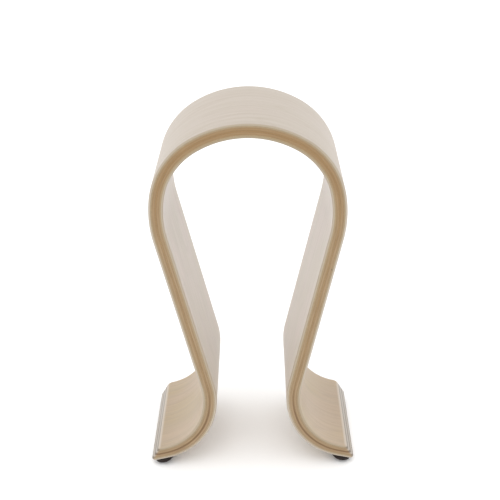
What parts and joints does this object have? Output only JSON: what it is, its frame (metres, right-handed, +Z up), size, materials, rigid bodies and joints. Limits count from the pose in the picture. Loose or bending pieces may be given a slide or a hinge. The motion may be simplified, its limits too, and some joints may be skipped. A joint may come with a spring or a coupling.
{
  "type": "headphone stand",
  "caption": "Free-standing headphone stand: a band of laminated wood veneers bent into an omega arch, with feet turned outwards on rubber bumpers",
  "frame": {"origin": "on the floor, under the middle of the stand", "axes": "+X to the stand's right seen from the front, +Y to the rear, +Z up"},
  "size_m": [0.1572, 0.096, 0.2769],
  "materials": {
    "face_veneer": "clear satin lacquer over pale birch face veneer, grain running round the band",
    "cross_ply": "sanded edge of a cross-grained core veneer, end grain showing",
    "long_ply": "sanded edge of a long-grained core veneer",
    "rubber": "smooth moulded rubber, slightly glossy",
    "adhesive": "thin grey double-sided adhesive film"
  },
  "bodies": {
    "root": {"outer_face_veneer": "face_veneer", "outer_cross_ply": "cross_ply", "outer_long_ply": "long_ply", "centre_cross_ply": "cross_ply", "inner_long_ply": "long_ply", "inner_cross_ply": "cross_ply", "inner_face_veneer": "face_veneer", "bumper_left_front": "rubber", "bumper_left_rear": "rubber", "bumper_right_front": "rubber", "bumper_right_rear": "rubber", "pad_left_front": "adhesive", "pad_left_rear": "adhesive", "pad_right_front": "adhesive", "pad_right_rear": "adhesive"}
  },
  "joints": []
}
